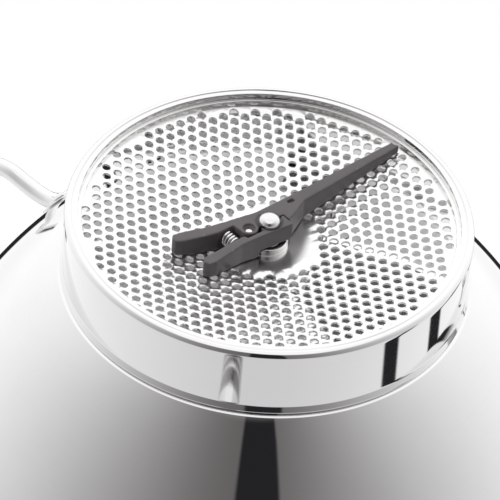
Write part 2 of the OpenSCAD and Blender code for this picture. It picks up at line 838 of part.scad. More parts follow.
// studs that hold the ends of the clip's spring
module spring_seat() {
    color(plastic)
    clip_frame()
        translate([-spring_u, -5.6, spring_z])
            rotate([90, 0, 0])
                cylinder(r = 1.2, h = 2.2, center = true, $fn = 32);
}

module release_seat() {
    color(plastic)
    clip_frame()
        translate([-spring_u, 1.4, spring_z])
            rotate([90, 0, 0])
                cylinder(r = 1.2, h = 3.4, center = true, $fn = 32);
}

module clip_spring() {
    wire = 0.45;
    color(steel)
    clip_frame()
        translate([-spring_u, -5.2 + wire, spring_z])
            rotate([-90, 0, 0])
                rod(coil(2.1, 0, 5.9 - 2 * wire, 4, 14), wire, 8);
}

bowl();
foot_ring();
sieve_disc();
disc_bush();
pot_hook_right();
pot_hook_left();
hook_pad_right();
hook_pad_left();
handle_pad();
handle_neck();
handle_grip();
handle_end();
handle_eye();
bridge_bar();
bridge_bush();
bridge_bracket_front();
bridge_bracket_back();
axle();
thrust_washer();
axle_spring();
blade_hub();
blade();
blade_pin();
axle_ring();
crank_hub();
crank_arm();
knob_pin();
knob_washer();
knob();
knob_cap();
scraper_lever();
pivot_pin();
clip_spring();
spring_seat();
release_lever();
release_seat();
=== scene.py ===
"""Visual model of a hand-cranked rotary food mill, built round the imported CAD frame."""
import json
import math

import bmesh
import bpy
import numpy as np
from mathutils import Matrix, Vector
from mathutils.geometry import delaunay_2d_cdt


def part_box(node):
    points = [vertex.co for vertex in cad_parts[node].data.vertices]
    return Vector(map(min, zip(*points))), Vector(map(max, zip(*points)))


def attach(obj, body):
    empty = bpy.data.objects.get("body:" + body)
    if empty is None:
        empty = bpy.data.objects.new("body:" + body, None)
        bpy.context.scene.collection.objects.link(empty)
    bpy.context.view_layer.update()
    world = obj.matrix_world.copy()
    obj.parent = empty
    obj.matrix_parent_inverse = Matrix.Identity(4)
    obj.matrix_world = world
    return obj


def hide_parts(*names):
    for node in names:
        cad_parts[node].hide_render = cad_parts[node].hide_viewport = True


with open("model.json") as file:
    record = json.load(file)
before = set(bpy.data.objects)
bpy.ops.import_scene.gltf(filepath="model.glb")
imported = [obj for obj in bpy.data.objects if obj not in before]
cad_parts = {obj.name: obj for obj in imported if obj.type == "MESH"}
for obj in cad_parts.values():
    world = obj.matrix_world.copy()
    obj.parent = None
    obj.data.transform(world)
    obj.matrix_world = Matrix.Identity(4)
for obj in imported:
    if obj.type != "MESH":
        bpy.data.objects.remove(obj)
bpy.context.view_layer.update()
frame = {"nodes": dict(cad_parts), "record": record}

MM = 0.001
TAU = 2 * math.pi
nodes = frame["nodes"]
scene = bpy.context.scene


# ---- small node-graph helper ----


class Graph:
    """Adds nodes to one node tree and wires their sockets."""

    def __init__(self, tree):
        self.tree = tree

    def put(self, kind, inputs=None, **settings):
        n = self.tree.nodes.new(kind)
        for k, v in settings.items():
            setattr(n, k, v)
        for k, v in (inputs or {}).items():
            self.feed(v, n.inputs[k])
        return n

    def feed(self, value, socket):
        if isinstance(value, bpy.types.NodeSocket):
            self.tree.links.new(value, socket)
        elif value is not None:
            socket.default_value = value

    def math(self, op, a, b=None, c=None, clamp=False):
        inputs = {i: v for i, v in enumerate((a, b, c)) if v is not None}
        return self.put("ShaderNodeMath", inputs, operation=op, use_clamp=clamp).outputs[0]

    def spread(self, value, low, high, to_low=0.0, to_high=1.0, smooth=True):
        kind = "SMOOTHSTEP" if smooth else "LINEAR"
        return self.put("ShaderNodeMapRange", {"Value": value, "From Min": low, "From Max": high,
                                               "To Min": to_low,
                                               "To Max": to_high},
                        interpolation_type=kind).outputs["Result"]

    def mix(self, factor, a, b):
        n = self.put("ShaderNodeMix", data_type="RGBA")
        self.feed(factor, n.inputs[0])
        self.feed(a, n.inputs[6])
        self.feed(b, n.inputs[7])
        return n.outputs[2]

    def noise(self, vector, scale, detail=2.0, rough=0.5):
        return self.put("ShaderNodeTexNoise", {"Vector": vector, "Scale": scale, "Detail": detail,
                                               "Roughness": rough}).outputs["Fac"]


def material(name):
    mat = bpy.data.materials.new(name)
    mat.use_nodes = True
    g = Graph(mat.node_tree)
    bsdf = mat.node_tree.nodes["Principled BSDF"]
    return mat, g, bsdf, g.put("ShaderNodeTexCoord").outputs["Object"]


def turned(g, place, centre=(0, 0, 0), axis="Z"):
    """Coordinates that change only along the radius and the axis, for turning and polishing marks."""
    moved = g.put("ShaderNodeVectorMath", {0: place, 1: tuple(-MM * c for c in centre)},
                  operation="ADD").outputs[0]
    x, y, z = g.put("ShaderNodeSeparateXYZ", {0: moved}).outputs
    across, along = ((x, y), z) if axis == "Z" else ((x, z), y)
    r = g.math("SQRT", g.math("ADD", g.math("POWER", across[0], 2.0), g.math("POWER", across[1], 2.0)))
    return g.put("ShaderNodeCombineXYZ", {0: r, 1: along, 2: 0.0}).outputs[0]


def stretched(g, place, scale):
    return g.put("ShaderNodeVectorMath", {0: place, 1: scale}, operation="MULTIPLY").outputs[0]


def steel(name, colour, rough, swing, line_scale, line_depth, kind="turned", smudge=0.03, grain=0.0,
          **where):
    """Steel with polishing lines, faint smudges in its roughness and a little drift in its colour."""
    mat, g, bsdf, place = material(name)
    lines_at = turned(g, place, **where) if kind == "turned" else stretched(g, place, kind)
    lines = g.noise(lines_at, line_scale, 4.0, 0.65)
    cloud = g.noise(place, 38.0, 4.0, 0.6)
    fine = g.noise(place, 900.0, 3.0, 0.6)
    level = g.math("ADD", g.math("MULTIPLY", cloud, 0.6), g.math("MULTIPLY", lines, 0.4))
    g.feed(g.spread(level, 0.3, 0.7, rough - swing, rough + swing), bsdf.inputs["Roughness"])
    low = tuple(c * (1 - smudge) for c in colour)
    g.feed(g.mix(g.spread(g.math("ADD", g.math("MULTIPLY", cloud, 0.5), g.math("MULTIPLY", lines, 0.5)),
                          0.35, 0.62),
                 (*low, 1), (*colour, 1)), bsdf.inputs["Base Color"])
    bsdf.inputs["Metallic"].default_value = 1.0
    height = lines
    if grain:
        height = g.math("ADD", g.math("MULTIPLY", lines, 1 - grain), g.math("MULTIPLY", fine, grain))
    bump = g.put("ShaderNodeBump", {"Height": height, "Strength": 0.6, "Distance": line_depth})
    g.feed(bump.outputs[0], bsdf.inputs["Normal"])
    return mat


def plastic(name, colour, light, rough, grain_scale, grain_depth, spec=0.5):
    """Moulded plastic with a fine spark-eroded grain, slightly paler on its sharp convex edges."""
    mat, g, bsdf, place = material(name)
    cloud = g.noise(place, 90.0, 3.0, 0.6)
    grain = g.noise(place, grain_scale, 3.0, 0.7)
    # a paler tone is mixed in where the mesh's pointiness marks sharp convex edges
    edge = g.put("ShaderNodeNewGeometry").outputs["Pointiness"]
    pale_edges = g.spread(g.math("ADD", edge, g.math("MULTIPLY", g.math("SUBTRACT", cloud, 0.5), 0.05)), 0.52,
                    0.60)
    base = g.mix(g.spread(cloud, 0.35, 0.65), (*colour, 1), (*(c * 1.12 for c in colour), 1))
    g.feed(g.mix(g.math("MULTIPLY", pale_edges, 0.6), base, (*light, 1)), bsdf.inputs["Base Color"])
    g.feed(g.spread(grain, 0.3, 0.7, rough - 0.05, rough + 0.07), bsdf.inputs["Roughness"])
    bsdf.inputs["Specular IOR Level"].default_value = spec
    bump = g.put("ShaderNodeBump", {"Height": grain, "Strength": 0.5, "Distance": grain_depth})
    g.feed(bump.outputs[0], bsdf.inputs["Normal"])
    return mat


def box_centre(node):
    low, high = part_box(node)
    return (low + high) / 2


grip_low, grip_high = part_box("handle_grip")
grip_axis_z = (grip_low.z + grip_high.z) / 2
knob_mid = box_centre("knob")

mats = {
    "polished_steel": steel("polished_steel", (0.83, 0.825, 0.83), 0.03, 0.012, 5200.0, 8e-7),
    "ring_steel": steel("ring_steel", (0.86, 0.855, 0.86), 0.04, 0.015, 4200.0, 1.5e-6),
    "satin_steel": steel("satin_steel", (0.93, 0.93, 0.92), 0.23, 0.05, 2600.0, 9e-6, smudge=0.05,
                         grain=0.75),
    "bright_steel": steel("bright_steel", (0.82, 0.82, 0.82), 0.14, 0.04, 3000.0, 5e-6),
    "rod_steel": steel("rod_steel", (0.84, 0.84, 0.845), 0.035, 0.015, 1500.0, 1.5e-6,
                       kind=(1.0, 1.0, 1.0)),
    "handle_steel": steel("handle_steel", (0.74, 0.74, 0.75), 0.27, 0.05, 2400.0, 6e-6,
                          kind=(1.0, 0.02, 1.0),
                          smudge=0.08),
    "spring_steel": steel("spring_steel", (0.86, 0.86, 0.85), 0.12, 0.03, 2500.0, 3e-6,
                          kind=(1.0, 1.0, 1.0)),
    "clip_plastic": plastic("clip_plastic", (0.098, 0.088, 0.093), (0.20, 0.185, 0.19), 0.40, 4200.0,
                            1.2e-5),
    "knob_plastic": plastic("knob_plastic", (0.022, 0.022, 0.024), (0.06, 0.06, 0.062), 0.34, 3600.0, 1e-5),
}
slot_of = {s["node"]: s["material_slot"] for s in frame["record"]["subparts"]}


# ---- mesh helpers; lengths in millimetres until the mesh is made ----


def rounded(points, radius, steps=4, closed=True):
    """Rounds a path's corners. radius is one number, or one for each point."""
    pts = [Vector(p) for p in points]
    n, out = len(pts), []
    for i, p in enumerate(pts):
        r = radius[i] if isinstance(radius, (list, tuple)) else radius
        if r <= 0 or (not closed and i in (0, n - 1)):
            out.append(p)
            continue
        a, b = pts[i - 1] - p, pts[(i + 1) % n] - p
        la, lb = a.length, b.length
        a, b = a / la, b / lb
        bend = math.acos(max(-1.0, min(1.0, a.dot(b))))
        if bend > math.radians(174) or bend < 1e-3:
            out.append(p)
            continue
        reach = min(r / math.tan(bend / 2), 0.48 * la, 0.48 * lb)
        first, last = p + a * reach, p + b * reach
        for k in range(steps + 1):
            t = k / steps
            out.append((1 - t) ** 2 * first + 2 * t * (1 - t) * p + t * t * last)
    return out


def to_mesh(name, bm, angle=38.0, weld=1e-7):
    bmesh.ops.remove_doubles(bm, verts=bm.verts, dist=weld)
    loose = [v for v in bm.verts if not v.link_faces]
    bmesh.ops.delete(bm, geom=loose, context="VERTS")
    bmesh.ops.recalc_face_normals(bm, faces=bm.faces)
    mesh = bpy.data.meshes.new(name)
    bm.to_mesh(mesh)
    bm.free()
    mesh.shade_smooth()
    mesh.set_sharp_from_angle(angle=math.radians(angle))
    return mesh


def piece(name, mesh, body, slot, *stands_for):
    ob = bpy.data.objects.new(name, mesh)
    scene.collection.objects.link(ob)
    ob.data.materials.append(mats[slot])
    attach(ob, body)
    if stands_for:
        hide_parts(*stands_for)
    return ob


def add_lathe(bm, profile, steps=128, closed=True, place=Matrix.Identity(4)):
    """Turns a profile of (radius, height) about +Z and puts it where place says."""
    rings = []
    for r, h in profile:
        if r < 1e-6:
            v = bm.verts.new(place @ (Vector((0, 0, h)) * MM))
            rings.append([v] * steps)
        else:
            rings.append([bm.verts.new(place @ (Vector((r * math.cos(TAU * k / steps),
                                                        r * math.sin(TAU * k / steps), h))
                                                * MM)) for k in range(steps)])
    pairs = list(zip(rings, rings[1:]))
    if closed:
        pairs.append((rings[-1], rings[0]))
    for a, b in pairs:
        for k in range(steps):
            m = (k + 1) % steps
            corners = []
            for v in (a[k], a[m], b[m], b[k]):
                if v not in corners:
                    corners.append(v)
            if len(corners) > 2:
                bm.faces.new(corners)


def lathe(name, profile, body, slot, *stands_for, steps=128, closed=True, place=Matrix.Identity(4),
          angle=38.0):
    bm = bmesh.new()
    add_lathe(bm, profile, steps, closed, place)
    return piece(name, to_mesh(name, bm, angle), body, slot, *stands_for)


def spline(points, n):
    """Smooth curve through the points."""
    p = [Vector(q) for q in points]
    out = []
    for i in range(len(p) - 1):
        a, b, c, d = p[max(i - 1, 0)], p[i], p[i + 1], p[min(i + 2, len(p) - 1)]
        for s in range(n):
            t = s / n
            out.append(0.5 * (2 * b + (c - a) * t + (2 * a - 5 * b + 4 * c - d) * t * t
                              + (3 * b - a - 3 * c + d) * t ** 3))
    return out + [p[-1]]


def add_tube(bm, path, radius, sides=20, cap=0.0):
    """Sweeps a round rod along a path, with rounded ends. radius is one number, or one for each point."""
    pts = [Vector(p) for p in path]
    n = len(pts)
    tangents = [(pts[min(i + 1, n - 1)] - pts[max(i - 1, 0)]).normalized() for i in range(n)]
    up = Vector((0, 0, 1)) if abs(tangents[0].z) < 0.9 else Vector((1, 0, 0))
    side = tangents[0].cross(up).normalized()
    rings = []
    for i, (p, t) in enumerate(zip(pts, tangents)):
        side = (side - t * side.dot(t)).normalized()
        other = t.cross(side)
        r = radius[i] if isinstance(radius, (list, tuple)) else radius
        rings.append((p, t, side.copy(), other, r))
    if cap:
        p, t, a, b, r = rings[0]
        rings = [(p - t * cap * math.sin(q), t, a, b, r - cap + cap * math.cos(q))
                 for q in (1.5, 1.2, 0.8, 0.4)] + rings
        p, t, a, b, r = rings[-1]
        rings = rings + [(p + t * cap * math.sin(q), t, a, b, r - cap + cap * math.cos(q))
                         for q in (0.4, 0.8, 1.2, 1.5)]
    made = [[bm.verts.new((p + r * (math.cos(TAU * k / sides) * a + math.sin(TAU * k / sides) * b)) * MM)
             for k in range(sides)] for p, t, a, b, r in rings]
    for a, b in zip(made, made[1:]):
        for k in range(sides):
            m = (k + 1) % sides
            bm.faces.new((a[k], a[m], b[m], b[k]))
    bm.faces.new(made[0][::-1])
    bm.faces.new(made[-1])


def tube(name, path, radius, body, slot, *stands_for, sides=20, cap=0.0):
    bm = bmesh.new()
    add_tube(bm, path, radius, sides, cap)
    return piece(name, to_mesh(name, bm, 50), body, slot, *stands_for)


def soften(node, width, segments=3, angle=28.0):
    """Rounds the edges of a CAD node with modifiers only, and gives it its material."""
    ob = nodes[node]
    weld = ob.modifiers.new("weld", "WELD")
    weld.merge_threshold = 2e-6
    flat = ob.modifiers.new("flat", "DECIMATE")
    flat.decimate_type = "DISSOLVE"
    flat.angle_limit = math.radians(1.5)
    bevel = ob.modifiers.new("round", "BEVEL")
    bevel.width = width * MM
    bevel.segments = segments
    bevel.limit_method = "ANGLE"
    bevel.angle_limit = math.radians(angle)
    bevel.use_clamp_overlap = False
    bevel.harden_normals = True
    bevel.miter_outer = "MITER_ARC"
    dress(node)


def moulded(node, voxel, rounds):
    """Gives a moulded CAD node soft edges, with modifiers only, and its material."""
    ob = nodes[node]
    skin = ob.modifiers.new("skin", "REMESH")
    skin.mode = "VOXEL"
    skin.voxel_size = voxel * MM
    skin.use_smooth_shade = True
    ease = ob.modifiers.new("ease", "SMOOTH")
    ease.factor, ease.iterations = 0.5, rounds
    dress(node)


def dress(node):
    ob = nodes[node]
    ob.data.materials.clear()
    ob.data.materials.append(mats[slot_of[node]])


# ---- sizes that the frame gives ----

bowl_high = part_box("bowl")[1]
ring_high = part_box("foot_ring")[1]
axle_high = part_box("axle")[1]

WALL, BEAD_R, RING_FLARE, LIP_W = 0.9, 2.5, 0.9, 4.4
ring_r = ring_high.x / MM - RING_FLARE
ring_h = ring_high.z / MM
mouth_z = bowl_high.z / MM - BEAD_R
mouth_r = bowl_high.x / MM - 2 * BEAD_R + WALL
lip_r = ring_r - LIP_W

# ---- bowl and foot ring ----


def bezier(a, b, c, n):
    return [(1 - t) ** 2 * Vector(a) + 2 * t * (1 - t) * Vector(b) + t * t * Vector(c)
            for t in (i / n for i in range(n + 1))]


def offset(path, d):
    out = []
    for i in range(len(path)):
        t = (path[min(i + 1, len(path) - 1)] - path[max(i - 1, 0)]).normalized()
        out.append(path[i] + d * Vector((-t.y, t.x)))
    return out


NECK_R = ring_r - WALL
SHOULDER = (ring_r + 1.6, ring_h + 0.7)
belly = (SHOULDER[0] + 0.643 * (mouth_r - SHOULDER[0]), SHOULDER[1] + 0.35 * (mouth_z - SHOULDER[1]))
flare = bezier(SHOULDER, belly, (mouth_r, mouth_z), 48)


def flare_r(z):
    for a, b in zip(flare, flare[1:]):
        if b.y >= z:
            return a.x + (b.x - a.x) * (z - a.y) / (b.y - a.y)
    return flare[-1].x


shoulder = rounded([(NECK_R, 12.0), (NECK_R, ring_h + 0.1), (NECK_R + 0.9, ring_h + 0.25), SHOULDER,
                    flare[2]],
                   [0, 0.2, 0.4, 0.8, 0], 4, False)[:-1]
outer = [*shoulder, *flare[3:-2]]
inner = offset(outer, WALL)
bead_c = Vector((mouth_r + BEAD_R - WALL, mouth_z))
bead = [bead_c + BEAD_R * Vector((math.cos(math.radians(a)), math.sin(math.radians(a))))
        for a in np.linspace(-142, 176, 44)]
bowl_profile = [*outer, *rounded([outer[-1], bead[0] + Vector((0.05, -0.35)), *bead[1:3]], 0.4, 3,
                                 False)[1:-1],
                *bead[2:], *inner[::-1]]
lathe("bowl_shell", bowl_profile, "bowl", "polished_steel", "bowl", steps=288, angle=60)

edge = ring_r - 2.0
lip = [(lip_r, 1.9), (lip_r, 0.45), (lip_r + 0.12, 0.12), (lip_r + 0.45, 0.0), (edge - 0.95, 0.0),
       (edge - 0.72, 0.06),
       (edge - 0.56, 0.28), (edge - 0.28, 0.30), (edge - 0.12, 0.05)]
turn_up = [(edge + 2.0 * math.sin(a), 2.0 - 2.0 * math.cos(a)) for a in np.linspace(0.12, math.pi / 2, 14)]
ring_profile = [*lip, *turn_up, *rounded([(ring_r, 2.4), (ring_r, ring_h - 2.4),
                                          (ring_r + 0.9, ring_h - 0.5),
                                          (ring_r + 0.75, ring_h)], [0, 1.5, 0.5, 0], 5, False),
                (NECK_R + 0.05, ring_h), (NECK_R + 0.02, 2.25), (lip_r + 0.4, 2.2)]
lathe("foot_ring_shell", ring_profile, "bowl", "ring_steel", "foot_ring", steps=288, angle=50)

# ---- sieve disc, with every hole cut through the sheet ----

PITCH, HOLE_D, DISC_T, DISC_R, EYE_Z, SLOPE = 4.2, 2.7, 0.8, 60.4, 12.3, 0.151
BUSH_R = 5.1


def disc_z(r):
    """Height of the disc's lower side, with a soft bend where the flat centre meets the cone."""
    cone = EYE_Z + (9 - r) * SLOPE
    return EYE_Z if r < 7 else cone if r > 11 else EYE_Z - SLOPE * (r - 7) ** 2 / 8


def hole_spots():
    turn = Matrix.Rotation(math.radians(12.5), 2)
    for i in range(-26, 27):
        for j in range(-26, 27):
            p = Vector(((i + j / 2) * PITCH, (j * math.sqrt(3) / 2 - 0.25) * PITCH))
            if 17.3 < p.length < DISC_R - 1.2:
                yield turn @ p


def circle(centre, r, n, phase=0.0):
    return [Vector((centre[0] + r * math.cos(TAU * k / n + phase),
                    centre[1] + r * math.sin(TAU * k / n + phase)))
            for k in range(n)]


def make_disc():
    sides, rim = 18, 0.13
    spots = list(hole_spots())
    pts, edges = [], []

    def loop(points):
        first = len(pts)
        pts.extend(points)
        edges.extend((first + k, first + (k + 1) % len(points)) for k in range(len(points)))

    loop(circle((0, 0), DISC_R, 180))
    loop(circle((0, 0), BUSH_R, 48))
    for r, n in ((7, 48), (8, 48), (9, 48), (10, 48), (11, 60), (13.5, 60)):
        pts.extend(circle((0, 0), r, n, 0.03 * r))
    for s in spots:
        loop(circle(s, HOLE_D / 2 + rim, sides))
    flat, _, faces, *_ = delaunay_2d_cdt(pts, edges, [], 0, 1e-5)
    centres = np.array([sum((flat[i] for i in f), Vector((0, 0))) / len(f) for f in faces])
    spot_xy = np.array(spots)
    near = np.full(len(centres), 1e9)
    for s in spot_xy:
        near = np.minimum(near, np.hypot(*(centres - s).T))
    radius = np.hypot(*centres.T)
    keep = (near > HOLE_D / 2 + rim - 0.06) & (radius > BUSH_R - 0.02) & (radius < DISC_R)
    bm = bmesh.new()
    for lift, dip in ((0.0, 1), (DISC_T, -1)):
        verts = [bm.verts.new(Vector((p.x, p.y, disc_z(p.length) + lift)) * MM) for p in flat]
        for f, k in zip(faces, keep):
            if k:
                bm.faces.new([verts[i] for i in (f if dip < 0 else f[::-1])])
    for s in spots:
        steps = ((rim, 0.0), (0.5 * rim, 0.03), (0.0, 0.14), (0.0, DISC_T - 0.08),
                 (0.45 * rim, DISC_T - 0.02),
                 (rim, DISC_T))
        rings = [[bm.verts.new(Vector((p.x, p.y, disc_z(p.length) + h)) * MM)
                  for p in circle(s, HOLE_D / 2 + grow, sides)] for grow, h in steps]
        for a, b in zip(rings, rings[1:]):
            for k in range(sides):
                m = (k + 1) % sides
                bm.faces.new((a[k], b[k], b[m], a[m]))
    # turned-down wall and flange that rest on the ring's lip
    z = disc_z(DISC_R)
    wall = rounded([(DISC_R, z), (DISC_R, 2.2), (63.95, 2.2), (63.95, 3.0), (DISC_R + DISC_T, 3.0),
                    (DISC_R + DISC_T, z + DISC_T - 0.1), (DISC_R, z + DISC_T)],
                   [0, 0.3, 0.3, 0.3, 0.3, 0.5, 0], 3, False)
    add_lathe(bm, wall, 180, False)
    bmesh.ops.remove_doubles(bm, verts=bm.verts, dist=2e-7)
    mesh = bpy.data.meshes.new("disc_sheet")
    bm.normal_update()
    bm.to_mesh(mesh)
    bm.free()
    mesh.shade_smooth()
    mesh.set_sharp_from_angle(angle=math.radians(30))
    return piece("disc_sheet", mesh, "bowl", "satin_steel", "sieve_disc")


make_disc()
bush = rounded([(4.05, EYE_Z - 2.2), (6.0, EYE_Z - 2.2), (6.6, EYE_Z - 1.6), (6.6, EYE_Z), (5.1, EYE_Z),
                (5.1, EYE_Z + 0.8), (6.6, EYE_Z + 0.8), (6.3, EYE_Z + 1.6), (4.05, EYE_Z + 1.6)], 0.25, 3)
lathe("disc_bush_turned", bush, "bowl", "bright_steel", "disc_bush", steps=96)

# ---- pot hooks ----

HOOK_Z, HOOK_R = 58.2, 2.9
foot = flare_r(HOOK_Z - 3)
hook_points = [(-1, -4.6), (1.8, -2.2), (6.1, -0.2), (12.1, 0.5), (19.1, 0.1), (26.1, -0.5), (32.1, 0.8),
               (37.1, 4),
               (42.6, 5.6), (47.6, 3), (50.1, -3), (50.9, -10)]


def make_hook(name, spread):
    turn = Matrix.Rotation(math.radians(90 - spread), 3, "Z")
    path = [turn @ Vector((foot + p[0], 0, HOOK_Z + p[2]))
            for p in spline([(a, 0, b) for a, b in hook_points], 7)]
    path[-1] += (path[-2] - path[-1]).normalized() * 0.7
    tube("pot_hook_rod_" + name, path[2:], HOOK_R, "bowl", "rod_steel", "pot_hook_" + name, sides=28,
         cap=0.7)
    # weld bead where the rod meets its pad
    out = turn @ Vector((1, 0, 0))
    bm = bmesh.new()
    steps, ring = 40, 12
    base = Vector((foot + 0.2, 0, HOOK_Z - 4.0))
    slope = Vector((0.80, 0, -0.60))
    tangent = Vector((0.60, 0, 0.80))
    across = Vector((0, 1, 0))
    rows = []
    for k in range(steps):
        a = TAU * k / steps
        wobble = 1 + 0.06 * math.sin(7 * a + spread) + 0.04 * math.sin(13 * a)
        spot = base + (tangent * 1.32 * math.cos(a) + across * math.sin(a)) * (HOOK_R + 0.2) + slope * 0.7
        away = (tangent * math.cos(a) + across * math.sin(a)).normalized()
        rows.append([bm.verts.new(turn @ (spot + 1.05 * wobble * (math.cos(TAU * q / ring) * away
                                                                 + math.sin(TAU * q / ring) * slope)) * MM)
                     for q in range(ring)])
    for k in range(steps):
        a, b = rows[k], rows[(k + 1) % steps]
        for q in range(ring):
            m = (q + 1) % ring
            bm.faces.new((a[q], a[m], b[m], b[q]))
    piece("hook_weld_" + name, to_mesh("hook_weld_" + name, bm, 60), "bowl", "rod_steel")
    soften("hook_pad_" + name, 0.35)


make_hook("right", 60)
make_hook("left", -60)

# ---- handle ----


def along_y(y, z):
    """Puts a turned shape's axis on the handle, with its height running outwards."""
    return Matrix.Translation((0, y, z)) @ Matrix.Rotation(math.pi / 2, 4, "X")


GRIP_R = 11.0
grip_long = (grip_high.y - grip_low.y) / MM
barrel = [(GRIP_R + 1.6 * math.sin(math.pi * t), grip_long * t) for t in np.linspace(0.0, 1.0, 60)]


def groove(path, at, wide=1.3, deep=0.45):
    """Turns a shallow round groove into a barrel."""
    out = []
    for r, h in path:
        if abs(h - at) > wide * 1.2:
            out.append((r, h))
    r0 = GRIP_R + 1.6 * math.sin(math.pi * at / grip_long)
    cut = [(r0 - deep * 0.5 * (1 + math.cos(math.pi * q)), at + wide * q) for q in np.linspace(-1, 1, 11)]
    return sorted(out + cut, key=lambda v: v[1])


for at in (7.0, 11.0, grip_long - 11.0, grip_long - 7.0):
    barrel = groove(barrel, at)
grip = [(9.5, 0.0), (GRIP_R - 0.5, 0.0), (GRIP_R - 0.15, 0.15), (GRIP_R, 0.5),
        *[v for v in barrel if 0.8 < v[1] < grip_long - 0.8],
        (GRIP_R, grip_long - 0.5), (GRIP_R - 0.15, grip_long - 0.15), (GRIP_R - 0.5, grip_long),
        (9.5, grip_long)]
lathe("handle_barrel", grip, "bowl", "handle_steel", "handle_grip", steps=96, closed=False,
      place=along_y(grip_high.y, grip_axis_z))
end_cap = rounded([(9.0, -2.0), (GRIP_R - 0.3, -0.02), (GRIP_R - 0.02, 0.25), (GRIP_R, 3.2),
                   (GRIP_R - 0.2, 4.75), (9.2, 5.0),
                   (7.6, 4.75), (0, 4.6)], [0, 0, 0.3, 1.2, 0.5, 0.5, 1.0, 0], 4, False)
lathe("handle_cap", end_cap, "bowl", "rod_steel", "handle_end", steps=96, closed=False,
      place=along_y(grip_low.y, grip_axis_z))
EYE_HALF, EYE_ROD = 6.0, 2.0
eye = [(-EYE_HALF, 2.0), (-EYE_HALF, 6.0), *[(-EYE_HALF * math.cos(t), 10 + EYE_HALF * math.sin(t))
                                           for t in np.linspace(0, math.pi, 25)], (EYE_HALF, 6.0),
       (EYE_HALF, 2.0)]
tube("handle_loop", [(u, grip_low.y / MM - v, grip_axis_z / MM) for u, v in eye], EYE_ROD, "bowl",
     "rod_steel",
     "handle_eye", sides=28)
neck_profile = rounded([(9.5, 8.0), (9.5, 14), (7.5, 20), (7.5, 28), (GRIP_R, 34), (GRIP_R - 0.3, 34.0),
                        (6, 34)],
                       [0, 4, 5, 5, 0.6, 0, 0], 7, False)
bm = bmesh.new()
add_lathe(bm, [(r, h - 12) for r, h in neck_profile], 96, False, along_y(grip_high.y + 0.022, grip_axis_z))
first = sorted(bm.verts, key=lambda v: -v.co.y)[:96]
for v in first:
    v.co.y = -math.sqrt(max((flare_r(v.co.z / MM) + 1.2) ** 2 - (v.co.x / MM) ** 2, 0)) * MM
piece("handle_stem", to_mesh("handle_stem", bm, 50), "bowl", "rod_steel", "handle_neck")
# weld bead round the stem's foot
bm = bmesh.new()
rows = []
for k in range(72):
    t = TAU * k / 72
    wobble = 1 + 0.05 * math.sin(9 * t) + 0.04 * math.sin(17 * t + 1)
    px, pz = 9.6 * math.cos(t), grip_axis_z / MM + 9.6 * math.sin(t)
    r = flare_r(pz) + 2.0
    py = -math.sqrt(r * r - px * px)
    away = Vector((math.cos(t), 0, math.sin(t)))
    lift = Vector((0, -1, 0))
    rows.append([bm.verts.new((Vector((px, py,
                                       pz)) + 1.1 * wobble * (math.cos(q) * away + math.sin(q) * lift)) * MM)
                 for q in np.linspace(0, TAU, 10, endpoint=False)])
for k in range(72):
    for q in range(10):
        m = (q + 1) % 10
        bm.faces.new((rows[k][q], rows[k][m], rows[(k + 1) % 72][m], rows[(k + 1) % 72][q]))
piece("handle_weld", to_mesh("handle_weld", bm, 70), "bowl", "rod_steel")
soften("handle_pad", 0.5)

# ---- axle, springs and bushes ----

CLIP_TURN, CRANK_TURN = 127.0, 205.0
NECK_TOP, AXLE_R = 6.1, 4.0
bridge_low, bridge_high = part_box("bridge_bar")
BRIDGE_Z, BRIDGE_T = bridge_low.z / MM, (bridge_high.z - bridge_low.z) / MM
RING_Z = BRIDGE_Z + BRIDGE_T + 4.3
top = axle_high.z / MM
shaft = rounded([(0, NECK_TOP), (AXLE_R, NECK_TOP), (AXLE_R, RING_Z), (AXLE_R - 0.6, RING_Z),
                 (AXLE_R - 0.6, RING_Z + 1),
                 (AXLE_R, RING_Z + 1), (AXLE_R, top - 0.8), (AXLE_R - 0.8, top), (0, top)],
                [0, 0.2, 0.1, 0.1, 0.1, 0.1, 0.4, 0.4, 0], 3, False)
bm = bmesh.new()
add_lathe(bm, shaft, 96, False)
dome = [(0, 0.80), (0.6, 0.815), (1.2, 0.88), (1.9, 1.05), (2.6, 1.36), (3.1, 1.75), (3.42, 2.2),
        (3.57, 2.65), (3.6, 3.0),
        (3.6, 3.3), (0, 3.3)]
add_lathe(bm, dome, 96, False)
bmesh.ops.create_cube(bm, size=1.0, matrix=Matrix.Rotation(math.radians(CLIP_TURN), 4,
                                                           "Z") @ Matrix.Translation((0, 0, 4.7 * MM))
                      @ Matrix.Diagonal((4.4 * MM, 4.4 * MM, 3.4 * MM, 1)))
piece("axle_turned", to_mesh("axle_turned", bm, 40), "crank", "bright_steel", "axle")


def coil(r, z0, z1, turns, steps):
    """Even coil about +Z."""
    pts = []
    n = int(turns * steps)
    for i in range(n + 1):
        t = i / n
        a = TAU * turns * t
        pts.append(Vector((r * math.cos(a), r * math.sin(a), z0 + (z1 - z0) * t)))
    return pts


hub_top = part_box("blade_hub")[1].z / MM
spring_pts = coil(AXLE_R + 2.3, hub_top + 0.9, BRIDGE_Z - 2.6 - 0.9, 5, 36)
tube("axle_coil", spring_pts, 0.9, "crank", "spring_steel", "axle_spring", sides=14, cap=0.3)

lathe("thrust_ring", rounded([(4.0, BRIDGE_Z - 2.6), (8.5, BRIDGE_Z - 2.6), (8.5, BRIDGE_Z - 1.8),
                              (4.0, BRIDGE_Z - 1.8)],
                             0.25, 3), "crank", "bright_steel", "thrust_washer", steps=96)
bb = BRIDGE_Z + BRIDGE_T
lathe("bridge_bush_turned", rounded([(4.05, BRIDGE_Z - 1.5), (8.5, BRIDGE_Z - 1.5), (8.5, BRIDGE_Z),
                                     (6.5, BRIDGE_Z),
                                     (6.5, bb), (8.5, bb), (8.5, bb + 1.5), (7.0, bb + 4), (4.05, bb + 4)],
                                    0.35, 3),
      "bowl", "bright_steel", "bridge_bush", steps=96)
soften("axle_ring", 0.15, 2)

